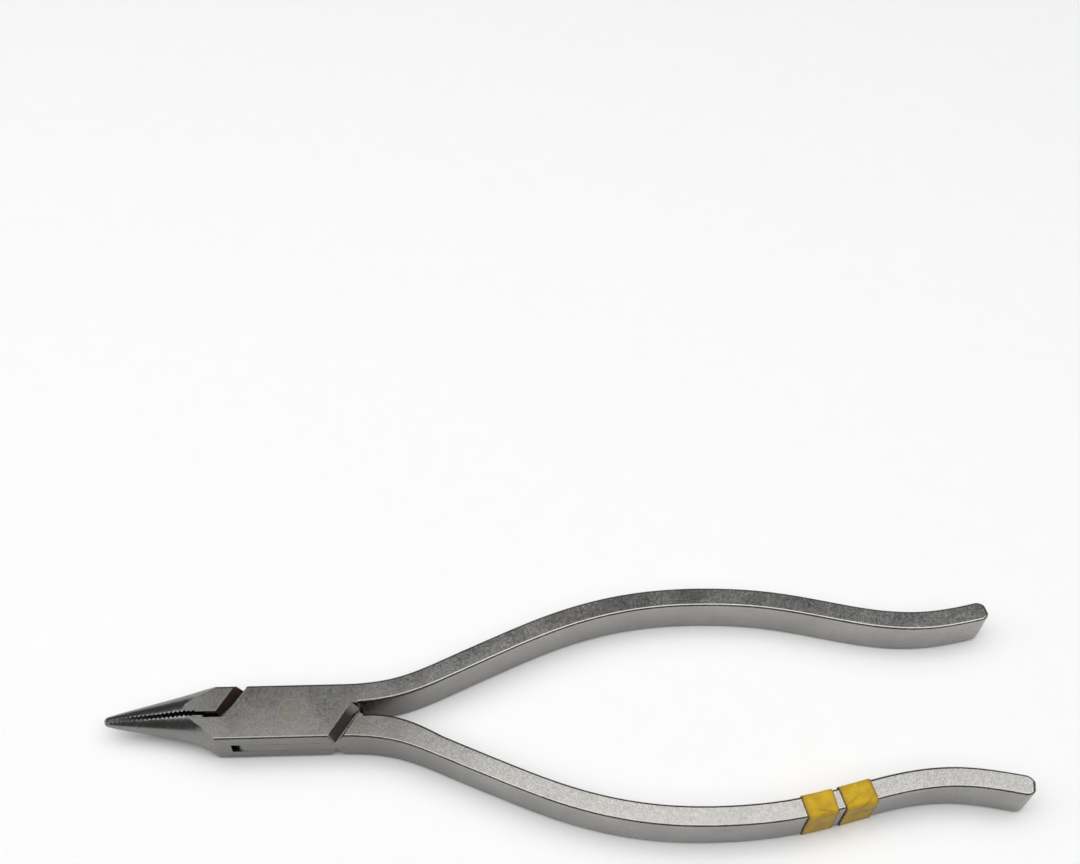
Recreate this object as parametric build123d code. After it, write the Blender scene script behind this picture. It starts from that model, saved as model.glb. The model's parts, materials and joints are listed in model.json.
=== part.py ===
from build123d import *
import os

# Box-joint pliers with conical serrated jaws and two wraps of marking tape. Millimetres.
#
# The shapes are drawn in the pivot's own frame: the pivot axis is Z, +X runs to the handles, -X to
# the jaw tips, +Y is the side of the outer half's handle, and z = 0 is the middle of the thickness.
# Each node is then moved to the row frame, whose origin is the bottom centre of the whole tool.

# Overall
STEEL_THICKNESS = 8.25
JAW_REACH = 34.1                   # pivot to jaw tip
HANDLE_WIDTH = 3.9
HANDLE_END = Vector(129.5, 17.2)   # centre of the round end of the shorter handle
LONG_HANDLE_EXTRA = 1.0            # the inner half's handle is this much longer
EDGE_RADIUS = 0.45
END_ROUNDING_TOP = 0.9             # how far back the handles' ends are rounded off
END_ROUNDING_BOTTOM = 3.2

# Box joint
BOX_HALF_WIDTH = 5.2
SLOT_HALF = 1.43
WEB_HALF = 1.35
PIN_RADIUS = 1.9
PIN_HEAD_RADIUS = 2.25
PIN_HEAD_DEPTH = 0.6
PIN_CLEARANCE = 0.05

# Jaws
# Each jaw's inner face in plan, from its heel to its tip
OUTER_JAW_FACE = ((-13.28, -0.5), (-34.1, 0.1))
INNER_JAW_FACE = ((-12.87, 0.35), (-34.1, 0.42))
# Where each jaw's cone widens towards its heel: x and radius. The outer jaw's flares.
OUTER_JAW_HEEL = ((-17.0, 4.95), (-13.0, 7.7))
INNER_JAW_HEEL = ((-17.0, 4.72), (-13.0, 5.9))
JAW_STOCK = 36.0                   # the jaws are turned down from stock that reaches this far
TOOTH_PITCH = 0.8
TOOTH_DEPTH = 0.3
TOOTH_COUNT = 20
FIRST_TOOTH = 1.1                  # jaw tip to the first groove

# Marking tape: where each band starts on the handle's centreline, and its width
TAPE_THICKNESS = 0.3
TAPE_BANDS = {"tape_band_front": (90.3, 6.05), "tape_band_rear": (97.2, 6.35)}

# V grooves. Each shoulder has a crest on the top and bottom faces and a foot at the slot's level,
# given as (outer end, inner end).
OUTER_FRONT_CREST = ((-8.0, 5.2), (-11.61, -0.5))
OUTER_FRONT_FOOT = ((-8.64, 5.2), OUTER_JAW_FACE[0])
INNER_FRONT_CREST = ((-10.34, 5.2), (-13.4, 0.35))
INNER_FRONT_FOOT = ((-8.84, 5.2), INNER_JAW_FACE[0])
OUTER_REAR_CREST = ((6.68, -5.2), (10.6, 1.05))
OUTER_REAR_FOOT = ((7.95, -5.2), (12.0, 1.05))
INNER_REAR_CREST = ((9.6, -5.2), (12.45, -0.5))
INNER_REAR_FOOT = ((8.15, -5.2), (11.2, -0.5))

half = STEEL_THICKNESS / 2
above = half + 1.0

# Centreline of the outer half's handle, from the back of the box to the round end
centreline = Spline(
    (9.0, 3.25), (17.0, 3.85), (27.0, 7.4), (38.5, 12.7), (50.0, 17.45), (64.0, 20.85),
    (78.0, 21.55), (92.0, 20.15), (105.0, 17.15), (117.5, 15.55), HANDLE_END,
    tangents=[(1, 0), (1, 0.22)], tangent_scalars=[1, 1],
)
end_way = centreline % 1
long_handle_end = HANDLE_END + end_way * LONG_HANDLE_EXTRA
# A filler that makes the inner half's shank wider on its inner side than a handle is
SHANK_FILLER_WIDTH = 3.1
shank_line = Spline((13.0, 2.45), (19.4, 3.25), (26.9, 6.9), (38.5, 12.3))

reach_behind_pivot = long_handle_end.X + HANDLE_WIDTH / 2
row_frame = Location(((JAW_REACH - reach_behind_pivot) / 2, 0, half + TAPE_THICKNESS))


def polygon(*points):
    return make_face(Polyline(*points, close=True))


def prism(face, half_height):
    return extrude(face, amount=half_height, both=True)


def both_faces(cut):
    """The same cut made from the top and from the bottom."""
    return cut + mirror(cut, Plane.XY)


def ribbon_edges(path, width, count=12):
    """The two sides of a band that runs along a path."""
    sides = []
    for offset in (width / 2, -width / 2):
        points = []
        for i in range(count + 1):
            along = path % (i / count)
            points.append(path @ (i / count) + Vector(-along.Y, along.X) * offset)
        sides.append(Spline(*points, tangents=[path % 0, path % 1], tangent_scalars=[1, 1]))
    return sides


def round_rims(solid, radius, keep):
    """Round the edges of the top and bottom faces whose centres keep accepts."""
    top = solid.bounding_box().max.Z
    rims = [e for e in solid.edges() if abs(abs(e.center().Z) - top) < 1e-3 and keep(e.center())]
    return fillet(rims, radius)


def handle(extra=0.0, skin=0.0):
    """One handle on the +Y side, lengthened straight on by extra and thickened all over by skin."""
    left, right = ribbon_edges(centreline, HANDLE_WIDTH + 2 * skin)
    lengthen = end_way * extra
    ends = [left @ 1 + lengthen, right @ 1 + lengthen]
    tip = HANDLE_END + lengthen + end_way * (HANDLE_WIDTH / 2 + skin)
    outline = [Line(right @ 0, left @ 0), left, right, ThreePointArc(ends[0], tip, ends[1])]
    if extra:
        outline += [Line(left @ 1, ends[0]), Line(right @ 1, ends[1])]
    solid = prism(make_face(outline), half + skin)
    solid = round_rims(solid, EDGE_RADIUS + skin, lambda c: c.X > 10)
    return solid - end_trim(tip)


def end_trim(tip):
    """What the rounding of a handle's end removes, top and bottom, seen from the side."""
    side_view = Plane(origin=tip, x_dir=end_way, z_dir=(end_way.Y, -end_way.X, 0))
    cuts = []
    for side, reach in ((1, END_ROUNDING_TOP), (-1, END_ROUNDING_BOTTOM)):
        middle = (-reach * 0.27, side * (half - reach * 0.3))
        arc = ThreePointArc((-reach, side * half), middle, (0.01, side * (half - reach)))
        shoulder, beyond = side * (half - reach), side * above
        corner = Polyline(arc @ 1, (2, shoulder), (2, beyond), (-reach, beyond), arc @ 0)
        cuts.append(extrude(side_view * make_face([arc, corner]), amount=8, both=True))
    return cuts


def shank_filler():
    """The extra width of the inner half's shank, mirrored to the +Y side."""
    left, right = ribbon_edges(shank_line, SHANK_FILLER_WIDTH, 6)
    solid = prism(make_face([left, right, Line(left @ 0, right @ 0), Line(left @ 1, right @ 1)]), half)
    return round_rims(solid, EDGE_RADIUS, lambda c: 14 < c.X < 35)


def ease_sides(solid):
    """Round the long edges where the box's sides meet its top and bottom faces."""
    return round_rims(solid, EDGE_RADIUS, lambda c: abs(abs(c.Y) - BOX_HALF_WIDTH) < 1e-3)


def shoulder_cut(crest, foot, foot_level):
    """What a V groove removes above one sloping shoulder, on both faces of the tool."""
    lift = 1 + (above - half) / (half - foot_level)
    along = (Vector(*crest[1]) - Vector(*crest[0])).normalized() * 0.4
    sections = []
    for top, bottom, overrun in zip(crest, foot, (-along, along)):
        low = Vector(bottom[0], bottom[1], foot_level) + overrun
        high = low + Vector(top[0] - bottom[0], top[1] - bottom[1], half - foot_level) * lift
        out = Vector(bottom[0] - top[0], bottom[1] - top[1]).normalized() * 2.5
        corner = Vector(low.X + out.X, low.Y + out.Y, above)
        sections.append(make_face(Polyline(low, high, corner, low + out, close=True)))
    return both_faces(loft(sections, ruled=True))


def face_y(face, x):
    """Where a jaw's inner face lies at this x."""
    (heel_x, heel_y), (tip_x, tip_y) = face
    return heel_y + (tip_y - heel_y) * (x - heel_x) / (tip_x - heel_x)


def jaw_trim(heel):
    """What lies outside the cone that a jaw is ground to. Its axis leans a little."""
    cone_side = Spline((-33.3, 0.92), (-27.6, 2.25), (-20.5, 3.85), *heel)
    nose = ThreePointArc((-JAW_REACH, 0), (-33.87, 0.55), cone_side @ 0)
    closing = Polyline(cone_side @ 1, (-6.0, 12.5), (-6.0, 0), (-JAW_REACH, 0))
    cone = revolve(make_face([nose, cone_side, closing]), Axis.X)
    tip_relief = prism(polygon((-35.0, -0.15), (-32.9, 0.26), (-35.0, 0.67)), above)
    return Pos(-24, 0, 0) * Box(36, 22, 22) - Pos(0, 1.38, 0) * Rot(0, 0, 1.5) * cone + tip_relief


def serrations(face, side, lag):
    """V grooves across one jaw's inner face."""
    cuts = []
    for i in range(TOOTH_COUNT):
        x = -JAW_REACH + FIRST_TOOTH + (i + lag) * TOOTH_PITCH
        mouth = []
        for edge_x in (x - TOOTH_PITCH * 0.46, x + TOOTH_PITCH * 0.46):
            mouth.append((edge_x, face_y(face, edge_x) - side * 0.02))
        root = (x, face_y(face, x) + side * TOOTH_DEPTH)
        cuts.append(prism(polygon(mouth[0], root, mouth[1]), above))
    return cuts


def pivot_pin():
    """A riveted pin, its two coned heads ground flush with the box."""
    head = Pos(0, 0, half - PIN_HEAD_DEPTH / 2) * Cone(PIN_RADIUS, PIN_HEAD_RADIUS, PIN_HEAD_DEPTH)
    return Cylinder(PIN_RADIUS, STEEL_THICKNESS) + both_faces(head)


def outer_half():
    """Rear handle, the two box plates round the slot and the front jaw, in one piece."""
    plate = polygon(
        OUTER_FRONT_FOOT[0], (9.0, BOX_HALF_WIDTH), (9.0, 4.0), (11.9, 2.5), OUTER_REAR_FOOT[1],
        OUTER_REAR_FOOT[0], (-JAW_STOCK, -BOX_HALF_WIDTH),
        (-JAW_STOCK, face_y(OUTER_JAW_FACE, -JAW_STOCK)), OUTER_FRONT_FOOT[1],
    )
    body = ease_sides(prism(plate, half)) + handle()
    front_wall = ThreePointArc((-13.1, 0.6), (-12.3, -3.1), (-10.0, -5.7))
    near_side = Polyline((-10.0, -5.7), (9.0, -7.0), (12.8, -0.6))
    rear_wall = ThreePointArc((12.8, -0.6), (12.1, 3.1), (10.0, 5.4))
    far_side = Polyline((10.0, 5.4), (10.0, 5.6), (-9.0, 7.0), (-13.1, 0.6))
    body -= prism(make_face([front_wall, near_side, rear_wall, far_side]), SLOT_HALF)
    body -= shoulder_cut(OUTER_FRONT_CREST, OUTER_FRONT_FOOT, SLOT_HALF)
    body -= shoulder_cut(OUTER_REAR_CREST, OUTER_REAR_FOOT, SLOT_HALF)
    body -= jaw_trim(OUTER_JAW_HEEL)
    body -= serrations(OUTER_JAW_FACE, -1, 0.0)
    return body - pivot_pin()


def inner_half():
    """Front handle, the web that runs through the slot and the rear jaw, in one piece."""
    jaw = polygon(
        *INNER_FRONT_FOOT, (-JAW_STOCK, face_y(INNER_JAW_FACE, -JAW_STOCK)), (-JAW_STOCK, BOX_HALF_WIDTH),
    )
    shank = polygon(
        INNER_REAR_FOOT[0], (9.0, -BOX_HALF_WIDTH), (9.0, -4.0), (13.2, -3.5), (13.0, -0.9),
        INNER_REAR_FOOT[1],
    )
    front_edge = ThreePointArc(INNER_FRONT_FOOT[1], (-11.5, -3.0), (-8.0, -BOX_HALF_WIDTH))
    near_side = Polyline((-8.0, -BOX_HALF_WIDTH), (9.0, -BOX_HALF_WIDTH), (12.3, -3.0), (12.3, -0.7))
    rear_edge = ThreePointArc((12.3, -0.7), (11.4, 2.9), (8.0, BOX_HALF_WIDTH))
    far_side = Polyline((8.0, BOX_HALF_WIDTH), (-9.2, BOX_HALF_WIDTH), (-13.2, 1.0), INNER_FRONT_FOOT[1])
    web = prism(make_face([front_edge, near_side, rear_edge, far_side]), WEB_HALF)
    grip = handle(LONG_HANDLE_EXTRA) + shank_filler()
    body = ease_sides(prism(shank, half)) + mirror(grip, Plane.XZ)
    body -= shoulder_cut(INNER_REAR_CREST, INNER_REAR_FOOT, WEB_HALF)
    rear_jaw = ease_sides(prism(jaw, half)) - shoulder_cut(INNER_FRONT_CREST, INNER_FRONT_FOOT, WEB_HALF)
    rear_jaw -= jaw_trim(INNER_JAW_HEEL)
    rear_jaw -= serrations(INNER_JAW_FACE, 1, 0.5)
    body += web + rear_jaw
    return body - Cylinder(PIN_RADIUS + PIN_CLEARANCE, STEEL_THICKNESS)


def tape_band(start_x, width, steel):
    """One wrap of tape round the inner half's handle."""
    low, high = 0.0, 1.0
    for _ in range(40):
        middle = (low + high) / 2
        low, high = (middle, high) if (centreline @ middle).X < start_x else (low, middle)
    start, along = centreline @ low, centreline % low
    centre = start + along * (width / 2)
    sleeve = handle(0.0, TAPE_THICKNESS)
    slab = Plane(origin=centre, x_dir=along, z_dir=(0, 0, 1)) * Box(width, 12, 12)
    return mirror(sleeve & slab, Plane.XZ) - steel


def main():
    os.makedirs("parts", exist_ok=True)
    steel = inner_half()
    nodes = {"female_half": outer_half(), "male_half": steel, "pivot_pin": pivot_pin()}
    for name, (start_x, width) in TAPE_BANDS.items():
        nodes[name] = tape_band(start_x, width, steel)
    for name, solid in nodes.items():
        export_step(row_frame * solid, f"parts/{name}.step")


main()
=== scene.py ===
import json
import math
import random

import bpy
from mathutils import Euler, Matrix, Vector, noise
from mathutils.bvhtree import BVHTree


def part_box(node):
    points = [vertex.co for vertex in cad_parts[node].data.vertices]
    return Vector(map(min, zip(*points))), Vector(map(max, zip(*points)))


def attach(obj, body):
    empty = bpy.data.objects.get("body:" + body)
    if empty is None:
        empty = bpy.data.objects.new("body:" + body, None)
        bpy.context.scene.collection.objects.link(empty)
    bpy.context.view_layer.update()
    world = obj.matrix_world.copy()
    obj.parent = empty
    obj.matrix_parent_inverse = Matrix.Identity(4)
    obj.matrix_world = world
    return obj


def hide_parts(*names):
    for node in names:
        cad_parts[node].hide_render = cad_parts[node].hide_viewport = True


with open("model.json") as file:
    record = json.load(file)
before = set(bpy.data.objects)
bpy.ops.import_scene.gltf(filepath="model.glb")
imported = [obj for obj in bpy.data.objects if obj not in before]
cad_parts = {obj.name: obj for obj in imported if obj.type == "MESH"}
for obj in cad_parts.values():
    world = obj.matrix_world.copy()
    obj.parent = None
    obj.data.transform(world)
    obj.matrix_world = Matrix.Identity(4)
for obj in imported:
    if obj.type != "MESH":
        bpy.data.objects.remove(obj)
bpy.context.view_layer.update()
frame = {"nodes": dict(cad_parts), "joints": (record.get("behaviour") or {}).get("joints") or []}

MM = 0.001
SEED = 11

# The pivot and its pin, worked out from the frame
pivot = Vector(frame["joints"][0]["pos_m"])
pin_low, pin_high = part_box("pivot_pin")
pin_radius = (pin_high.x - pin_low.x) / 2

# Marking tape: how far each band's handle leans from +X in plan, and the band's width along it
BAND_LEAN = {"tape_band_front": math.radians(11.2), "tape_band_rear": math.radians(13.7)}
BAND_WIDTH = {"tape_band_front": 6.05 * MM, "tape_band_rear": 6.35 * MM}
BAND_SECTION = Vector((4.5, 8.85)) * MM
BAND_CORNER = 0.75 * MM
BAND_THICKNESS = 0.3 * MM

# Camera: where it stands, the way it looks, and its lens
CAMERA_PLACE = Vector((-14.9, -108.9, 247.25)) * MM
CAMERA_AZIMUTH = math.radians(-4.39)
CAMERA_ELEVATION = math.radians(54.52)
CAMERA_ROLL = math.radians(2.71)
CAMERA_LENS = 47.385


# Lighting and floors, in metres, watts and albedo
SOFT_PANEL = {"low": (-1.30, -0.22), "high": (0.60, 0.25), "height": 0.6, "power": 4.1}
FILL_PANEL = {"low": (-1.2, -1.2), "high": (1.2, 1.2), "height": 1.4, "power": 18.5}
ROOM_STRENGTH = 0.09
SEEN_FLOOR_BRIGHTNESS = 0.93
MIRRORED_FLOOR_BRIGHTNESS = 0.66
MIRRORED_FLOOR_HEIGHT = -0.4 * MM
FLOOR_HALF_SIDE = 3.0

# Steel: reflectance, and how rough the sheen is
STEEL = (0.50, 0.49, 0.47)
PIN_STEEL = (0.50, 0.475, 0.43)
STEEL_ROUGHNESS = 0.23
PIN_ROUGHNESS = 0.24


class Shader:
    """A material's node tree, with one short call for each kind of node."""

    def __init__(self, name):
        self.material = bpy.data.materials.new(name)
        self.material.use_nodes = True
        self.tree = self.material.node_tree
        self.bsdf = self.tree.nodes["Principled BSDF"]
        self.place = self.node("ShaderNodeTexCoord").outputs["Object"]

    def node(self, kind, settings=None, **inputs):
        made = self.tree.nodes.new(kind)
        for name, value in (settings or {}).items():
            setattr(made, name, value)
        for name, value in inputs.items():
            self.feed(made.inputs[name.replace("_", " ")], value)
        return made

    def feed(self, socket, value):
        if isinstance(value, bpy.types.NodeSocket):
            self.tree.links.new(value, socket)
        else:
            socket.default_value = value

    def math(self, operation, a, b=0.0, clamp=False):
        made = self.node("ShaderNodeMath", {"operation": operation, "use_clamp": clamp})
        self.feed(made.inputs[0], a)
        self.feed(made.inputs[1], b)
        return made.outputs[0]

    def vector(self, operation, a, b=(0, 0, 0), scale=None):
        made = self.node("ShaderNodeVectorMath", {"operation": operation})
        self.feed(made.inputs[0], a)
        self.feed(made.inputs[1], b)
        if scale is not None:
            self.feed(made.inputs["Scale"], scale)
        return made.outputs["Value" if operation in ("DOT_PRODUCT", "LENGTH", "DISTANCE") else "Vector"]

    def ramp(self, value, low, high, to_low=0.0, to_high=1.0):
        made = self.node("ShaderNodeMapRange", {"interpolation_type": "SMOOTHSTEP"}, Value=value)
        limits = (("From Min", low), ("From Max", high), ("To Min", to_low), ("To Max", to_high))
        for name, number in limits:
            made.inputs[name].default_value = number
        return made.outputs["Result"]

    def mix(self, factor, a, b):
        made = self.node("ShaderNodeMix", {"data_type": "RGBA"})
        for index, value in ((0, factor), (6, a), (7, b)):
            self.feed(made.inputs[index], value)
        return made.outputs[2]

    def noise(self, size, detail=2.0, roughness=0.5):
        """Noise whose features are about size metres wide."""
        made = self.node("ShaderNodeTexNoise", Vector=self.place, Scale=1 / size,
                         Detail=detail, Roughness=roughness)
        return made.outputs["Fac"]

    def cells(self, size):
        """A random colour for each cell, about size metres wide."""
        made = self.node("ShaderNodeTexVoronoi", Vector=self.place, Scale=1 / size)
        return made.outputs["Color"]


def blasted_steel(name, colour, roughness):
    """Bead-blasted stainless steel: fine sparkle, mottled sheen, polished edges, stains in the joint."""
    s = Shader(name)
    geometry = s.node("ShaderNodeNewGeometry")
    x_place = s.node("ShaderNodeSeparateXYZ", Vector=s.place).outputs["X"]
    coarse = s.ramp(x_place, pivot.x + 12 * MM, pivot.x + 55 * MM, 0.45, 1.0)

    # Polished, brighter edges
    rounded = s.node("ShaderNodeBevel", {"samples": 6}, Radius=0.12 * MM).outputs["Normal"]
    sharpness = s.math("SUBTRACT", 1.0, s.vector("DOT_PRODUCT", rounded, geometry.outputs["Normal"]))
    wear_noise = s.ramp(s.noise(1.1 * MM, 4, 0.65), 0.25, 0.7, 0.3, 1.0)
    edge = s.math("MULTIPLY", s.ramp(sharpness, 0.03, 0.18, 0.0, 0.7), wear_noise)

    # Broad mottling of the sheen and colour
    broad = s.noise(9 * MM, 4, 0.6)
    small = s.noise(0.7 * MM, 5, 0.6)
    light, dark = [tuple(c * k for c in colour) + (1,) for k in (1.08, 0.92)]
    shade = s.mix(s.ramp(broad, 0.3, 0.7), dark, light)
    warm = (colour[0] * 1.02, colour[1] * 0.95, colour[2] * 0.86, 1)
    shade = s.mix(s.ramp(s.noise(14 * MM, 3, 0.6), 0.5, 0.75, 0.0, 0.4), shade, warm)
    pits = s.math("MULTIPLY", coarse, s.ramp(s.noise(0.36 * MM, 3, 0.7), 0.6, 0.74, 0.0, 0.2))
    shade = s.mix(pits, shade, (0.16, 0.15, 0.14, 1))

    # A faint straw tint round the rivet
    offset = s.vector("MULTIPLY", s.vector("SUBTRACT", s.place, tuple(pivot)), (1, 1, 0))
    radius = s.vector("LENGTH", offset)
    straw = s.ramp(radius, pin_radius * 0.7, pin_radius * 2.3, 0.13, 0.0)
    shade = s.mix(straw, shade, (colour[0] * 1.04, colour[1] * 0.95, colour[2] * 0.7, 1))

    # Brown heat tint on the front V grooves' slopes, which lie off level close to the box
    level = s.math("ABSOLUTE", s.vector("DOT_PRODUCT", geometry.outputs["Normal"], (0, 0, 1)))
    sideways = s.math("ABSOLUTE", s.vector("DOT_PRODUCT", geometry.outputs["Normal"], (1, 0, 0)))
    slope = s.math("MULTIPLY", s.ramp(level, 0.9, 0.97, 1.0, 0.0), s.ramp(sideways, 0.62, 0.75))
    groove = s.math("MULTIPLY", slope, s.ramp(x_place, pivot.x - 14.2 * MM, pivot.x - 13.6 * MM))
    groove = s.math("MULTIPLY", groove, s.ramp(x_place, pivot.x - 3 * MM, pivot.x, 1.0, 0.0))
    groove = s.math("MULTIPLY", groove, s.ramp(s.noise(1.6 * MM, 3, 0.6), 0.2, 0.8, 0.5, 1.0))
    shade = s.mix(groove, shade, (colour[0] * 1.05, colour[1] * 0.9, colour[2] * 0.78, 1))

    # Painted shade: the box and jaws are painted a darker grey than the handles, standing in for the
    # dimmer light they catch; their grain is also smoother (see coarse)
    painted_box_shade = s.ramp(x_place, pivot.x + 8 * MM, pivot.x + 40 * MM, 0.38, 0.0)
    shade = s.mix(painted_box_shade, shade, (0.02, 0.02, 0.018, 1))

    shade = s.mix(edge, shade, (min(colour[0] * 1.5, 0.86), min(colour[1] * 1.5, 0.85), 0.8, 1))
    s.feed(s.bsdf.inputs["Base Color"], shade)
    s.bsdf.inputs["Metallic"].default_value = 1.0

    sheen = s.math("ADD", roughness - 0.06, s.math("MULTIPLY", s.ramp(small, 0.3, 0.7), 0.07))
    sheen = s.math("ADD", sheen, s.math("MULTIPLY", s.ramp(broad, 0.3, 0.7), 0.05))
    sheen = s.math("ADD", sheen, s.math("MULTIPLY", groove, 0.18))
    sheen = s.math("SUBTRACT", sheen, s.math("MULTIPLY", edge, 0.04), clamp=True)
    s.feed(s.bsdf.inputs["Roughness"], sheen)

    # Grain: each tiny dimple left by the blasting leans its own way
    lean = s.vector("SUBTRACT", s.cells(0.2 * MM), (0.5, 0.5, 0.5))
    quiet = s.math("MULTIPLY", s.math("SUBTRACT", 1.0, edge), s.math("MULTIPLY", coarse, 0.045))
    lean = s.vector("SCALE", lean, scale=quiet)
    speck = s.noise(0.16 * MM, 2, 0.6)
    bump = s.node("ShaderNodeBump", Height=s.math("ADD", speck, s.math("MULTIPLY", small, 0.8)),
                  Distance=0.004 * MM, Strength=0.5)
    facets = s.vector("NORMALIZE", s.vector("ADD", bump.outputs["Normal"], lean))
    s.feed(s.bsdf.inputs["Normal"], facets)
    return s.material


def marking_tape(name):
    """Ochre-yellow tape: mottled, dirty along its cut edges, with painted shade darkening its creases.
    """
    s = Shader(name)
    blotch = s.noise(2.4 * MM, 4, 0.6)
    shade = s.mix(s.ramp(blotch, 0.3, 0.7), (0.42, 0.25, 0.004, 1), (0.60, 0.385, 0.006, 1))
    speck = s.noise(0.35 * MM, 3, 0.7)
    shade = s.mix(s.ramp(speck, 0.6, 0.75, 0.0, 0.4), shade, (0.22, 0.12, 0.01, 1))
    # This attribute darkens the tape with real dirt along the cut edges and painted shade in the creases
    edge_dirt_and_crease_shade = s.node("ShaderNodeAttribute", {"attribute_name": "edge_dirt_and_crease_shade"}).outputs["Fac"]
    edge_dirt_and_crease_shade = s.math("MULTIPLY", edge_dirt_and_crease_shade, s.ramp(s.noise(0.6 * MM, 3, 0.7), 0.25, 0.6, 0.5, 1.0), clamp=True)
    shade = s.mix(edge_dirt_and_crease_shade, shade, (0.07, 0.03, 0.006, 1))
    s.feed(s.bsdf.inputs["Base Color"], shade)
    s.feed(s.bsdf.inputs["Roughness"], s.ramp(blotch, 0.3, 0.7, 0.42, 0.56))
    s.bsdf.inputs["Specular IOR Level"].default_value = 0.3
    s.bsdf.inputs["Coat Weight"].default_value = 0.1
    s.bsdf.inputs["Coat Roughness"].default_value = 0.22
    bump = s.node("ShaderNodeBump", Height=s.noise(0.5 * MM, 4, 0.6), Distance=0.02 * MM, Strength=0.7)
    s.feed(s.bsdf.inputs["Normal"], bump.outputs["Normal"])
    return s.material


def floor_paint(name, brightness):
    s = Shader(name)
    low, high = [(brightness + change,) * 3 + (1,) for change in (-0.01, 0.01)]
    s.feed(s.bsdf.inputs["Base Color"], s.mix(s.noise(6 * MM, 3, 0.5), low, high))
    s.bsdf.inputs["Roughness"].default_value = 0.9
    s.bsdf.inputs["Specular IOR Level"].default_value = 0.1
    return s.material


def round_rectangle(share, size, corner):
    """The point and outward way at a share of the way round a rectangle with round corners."""
    straight = size - Vector((corner, corner)) * 2
    turn = math.pi / 2 * corner
    lengths = (straight.y, turn, straight.x, turn) * 2
    travel = share % 1.0 * sum(lengths)
    way = 0.0
    centre = straight / 2
    corners = (Vector((1, 1)), Vector((-1, 1)), Vector((-1, -1)), Vector((1, -1)))
    for side in range(4):
        outward = Vector((math.cos(way), math.sin(way)))
        along = Vector((-outward.y, outward.x))
        to_corner = Vector((centre.x * corners[side].x, centre.y * corners[side].y))
        run, bend = lengths[side * 2], lengths[side * 2 + 1]
        if travel <= run:
            return to_corner - along * (run - travel) + outward * corner, outward
        travel -= run
        if travel <= bend:
            angle = way + travel / corner
            outward = Vector((math.cos(angle), math.sin(angle)))
            return to_corner + outward * corner, outward
        travel -= bend
        way += math.pi / 2
    return round_rectangle(0.0, size, corner)


class Creases:
    """A few soft creases across a band, each a line in the band's flat (round, along) plane."""

    def __init__(self, draw, girth, width, count=9):
        self.lines = []
        for _ in range(count):
            point = Vector((draw.uniform(0, girth), draw.uniform(-width / 2, width / 2)))
            angle = draw.uniform(0.15, 1.3) * draw.choice((-1, 1))
            depth = draw.uniform(0.02, 0.055) * MM
            spread = draw.uniform(0.1, 0.22) * MM
            reach = draw.uniform(1.2, 3.2) * MM
            self.lines.append((point, Vector((math.cos(angle), math.sin(angle))), depth, spread, reach))

    def depth(self, flat):
        total = 0.0
        for point, way, depth, spread, reach in self.lines:
            offset = flat - point
            along = offset.dot(way)
            across = offset.x * way.y - offset.y * way.x
            total += depth * math.exp(-(across / spread) ** 2 - (along / reach) ** 2)
        return total


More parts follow.
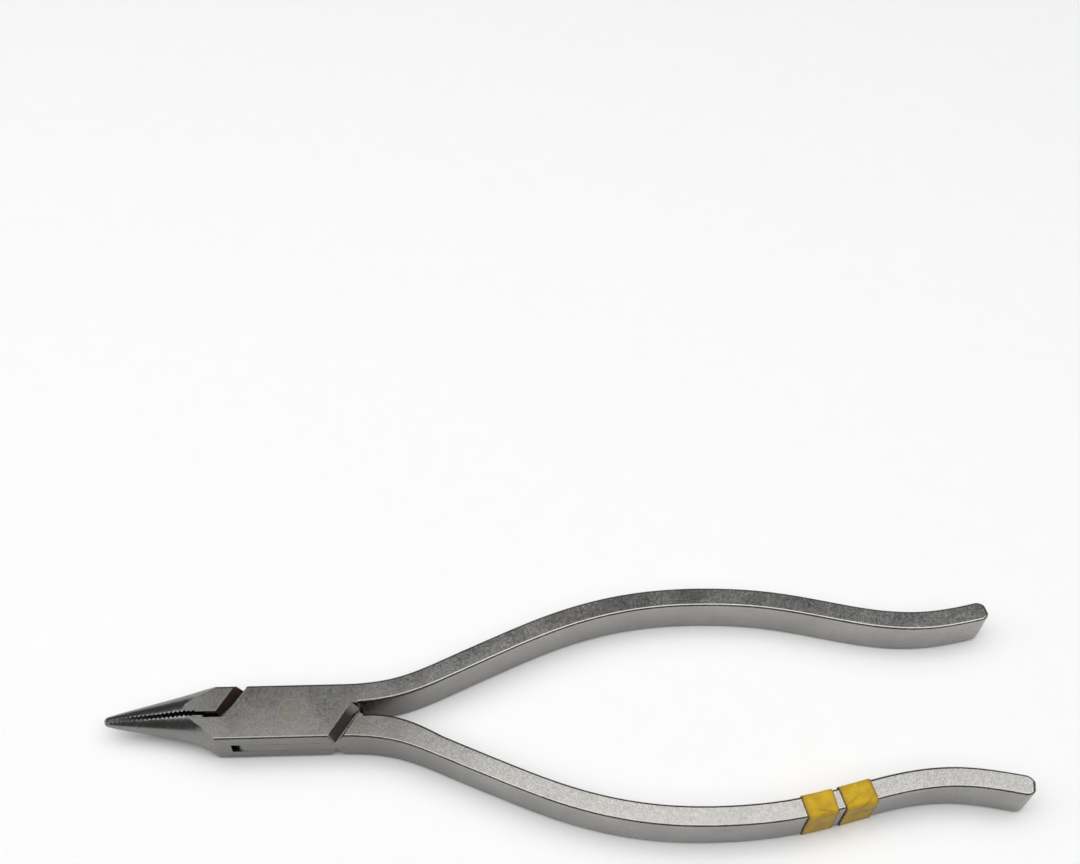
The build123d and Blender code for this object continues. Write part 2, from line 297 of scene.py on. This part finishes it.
def tape_wrap(node, seed, rounds=220, rows=44):
    """A wound band of tape that lies just inside its CAD ring: wavy cut edges, creases and a lap."""
    draw = random.Random(seed)
    cad = frame["nodes"][node]
    cad_points = [vertex.co for vertex in cad.data.vertices]
    cad_faces = [face.vertices[:] for face in cad.data.polygons]
    ring = BVHTree.FromPolygons(cad_points, cad_faces)
    low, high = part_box(node)
    centre = (low + high) / 2
    lean = BAND_LEAN[node]
    along = Vector((math.cos(lean), math.sin(lean), 0))
    across = Vector((-along.y, along.x, 0))
    up = Vector((0, 0, 1))
    width = BAND_WIDTH[node] - 0.04 * MM
    girth = 2 * (BAND_SECTION.x + BAND_SECTION.y) - (8 - 2 * math.pi) * BAND_CORNER
    creases = Creases(draw, girth, width)
    lap_at, lap_lean = draw.uniform(0.05, 0.16) * girth, draw.uniform(-0.12, 0.12)
    shift = Vector((draw.uniform(0, 90), draw.uniform(0, 90), 0))

    def cut_edge(share, side):
        """How far the cut edge on one side stays back from the band's full width."""
        turn = Vector((math.cos(share * math.tau), math.sin(share * math.tau), 3.0 * side))
        coarse = noise.noise(turn * 1.3 + shift)
        fine = noise.noise(turn * 9.0 + shift)
        return (0.13 + 0.14 * coarse + 0.06 * fine) * MM

    outer, inner, edge_dirt_and_crease_shade = [], [], []
    for i in range(rounds):
        share = i / rounds
        flat, out2 = round_rectangle(share, BAND_SECTION, BAND_CORNER)
        outward = across * out2.x + up * out2.y
        ends = [side * (width / 2 - cut_edge(share, side)) for side in (-1, 1)]
        for j in range(rows):
            t = j / (rows - 1)
            t = 0.5 - 0.5 * math.cos(math.pi * t) * (0.6 + 0.4 * abs(math.cos(math.pi * t)))
            place = ends[0] + (ends[1] - ends[0]) * t
            from_edge = min(t, 1 - t) * (ends[1] - ends[0])
            base = centre + along * place + across * flat.x + up * flat.y
            hit = ring.ray_cast(base + outward * MM, -outward, 2 * MM)[0]
            skin = hit if hit is not None else base
            spread = Vector((share * girth, place))
            crease = creases.depth(spread)
            ripple_at = Vector((share * girth, place, 0)) / (1.3 * MM) + shift
            ripple = (0.5 + 0.5 * noise.noise(ripple_at)) * 0.03 * MM
            past_lap = spread.x - lap_at - place * lap_lean
            lap = 0.05 * MM * (1 - max(0.0, min(1.0, past_lap / (0.06 * MM) + 0.5)))
            lap_fade = 0.05 * MM * min(1.0, max(0.0, (spread.x - lap_at) / girth))
            lap_drop = 0.05 * MM - lap if spread.x < lap_at + MM else lap_fade
            lift = -0.004 * MM - crease - ripple - lap_drop
            rim = max(0.0, 1 - from_edge / (0.07 * MM))
            outer.append(skin + outward * (lift - rim * rim * 0.05 * MM))
            inner.append(skin - outward * (BAND_THICKNESS - 0.006 * MM))
            edge_dirt = math.exp(-from_edge / (0.2 * MM))
            # The cut edges get real dirt; the creases get painted shade
            edge_dirt_and_crease_shade.append(min(1.0, edge_dirt + crease / (0.09 * MM)))

    faces = []
    count = rounds * rows
    for i in range(rounds):
        near, far = i * rows, (i + 1) % rounds * rows
        for j in range(rows - 1):
            faces.append((near + j, far + j, far + j + 1, near + j + 1))
            faces.append((count + near + j + 1, count + far + j + 1, count + far + j, count + near + j))
        faces.append((near, count + near, count + far, far))
        last = rows - 1
        faces.append((far + last, count + far + last, count + near + last, near + last))
    mesh = bpy.data.meshes.new(node + "_wrap")
    mesh.from_pydata(outer + inner, [], faces)
    mesh.validate()
    mesh.shade_smooth()
    values = mesh.attributes.new("edge_dirt_and_crease_shade", "FLOAT", "POINT")
    values.data.foreach_set("value", edge_dirt_and_crease_shade + edge_dirt_and_crease_shade)
    wrap = bpy.data.objects.new(node + "_wrap", mesh)
    bpy.context.scene.collection.objects.link(wrap)
    wrap.data.materials.append(TAPE)
    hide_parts(node)
    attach(wrap, "male_half")
    return wrap


def dress(node, material):
    """The CAD node shows with this material."""
    shown = frame["nodes"][node]
    for slot in shown.material_slots:
        slot.material = material


def floor_plane(name, height, brightness):
    mesh = bpy.data.meshes.new(name)
    signs = ((-1, -1), (1, -1), (1, 1), (-1, 1))
    corners = [(x * FLOOR_HALF_SIDE, y * FLOOR_HALF_SIDE, height) for x, y in signs]
    mesh.from_pydata(corners, [], [(0, 1, 2, 3)])
    plane = bpy.data.objects.new(name, mesh)
    bpy.context.scene.collection.objects.link(plane)
    plane.data.materials.append(floor_paint(name + "_paint", brightness))
    return plane


def add_floor():
    """A white floor to look at, and a greyer one just under it that the steel mirrors."""
    seen = floor_plane("floor", 0.0, SEEN_FLOOR_BRIGHTNESS)
    seen.visible_glossy = False
    seen.visible_shadow = False
    mirrored = floor_plane("mirrored_floor", MIRRORED_FLOOR_HEIGHT, MIRRORED_FLOOR_BRIGHTNESS)
    mirrored.visible_camera = False


def add_panel(name, low, high, height, power, glossy=True):
    """A soft overhead light between two plan corners, facing down."""
    light = bpy.data.lights.new(name, "AREA")
    light.shape = "RECTANGLE"
    light.size, light.size_y = high[0] - low[0], high[1] - low[1]
    light.energy = power
    panel = bpy.data.objects.new(name, light)
    panel.location = ((low[0] + high[0]) / 2, (low[1] + high[1]) / 2, height)
    panel.visible_glossy = glossy
    bpy.context.scene.collection.objects.link(panel)
    return panel


def add_light():
    """A long soft panel overhead that stops just behind the tool, a diffuse fill and a dim room."""
    add_panel("soft_panel", **SOFT_PANEL)
    add_panel("fill_panel", **FILL_PANEL, glossy=False)
    world = bpy.data.worlds.new("room")
    world.use_nodes = True
    bpy.context.scene.world = world
    tree = world.node_tree
    background = tree.nodes["Background"]
    background.inputs["Color"].default_value = (0.95, 0.97, 1.0, 1)
    background.inputs["Strength"].default_value = ROOM_STRENGTH


def add_camera():
    camera = bpy.data.cameras.new("camera")
    camera.lens = CAMERA_LENS
    camera.sensor_width = 36
    camera.clip_start = 0.01
    seen = bpy.data.objects.new("camera", camera)
    turn = Euler((math.pi / 2 - CAMERA_ELEVATION, 0, CAMERA_AZIMUTH)).to_matrix()
    roll = Euler((0, 0, CAMERA_ROLL)).to_matrix()
    seen.matrix_world = (turn @ roll).to_4x4()
    seen.location = CAMERA_PLACE
    bpy.context.scene.collection.objects.link(seen)
    bpy.context.scene.camera = seen


dress("female_half", blasted_steel("outer_steel_blasted", STEEL, STEEL_ROUGHNESS))
dress("male_half", blasted_steel("inner_steel_blasted", STEEL, STEEL_ROUGHNESS))
dress("pivot_pin", blasted_steel("pin_steel_ground", PIN_STEEL, PIN_ROUGHNESS))
TAPE = marking_tape("marking_tape_yellow")
for number, band in enumerate(BAND_LEAN):
    tape_wrap(band, SEED + number)
add_floor()
add_light()
add_camera()
bpy.context.scene.view_settings.view_transform = "Standard"
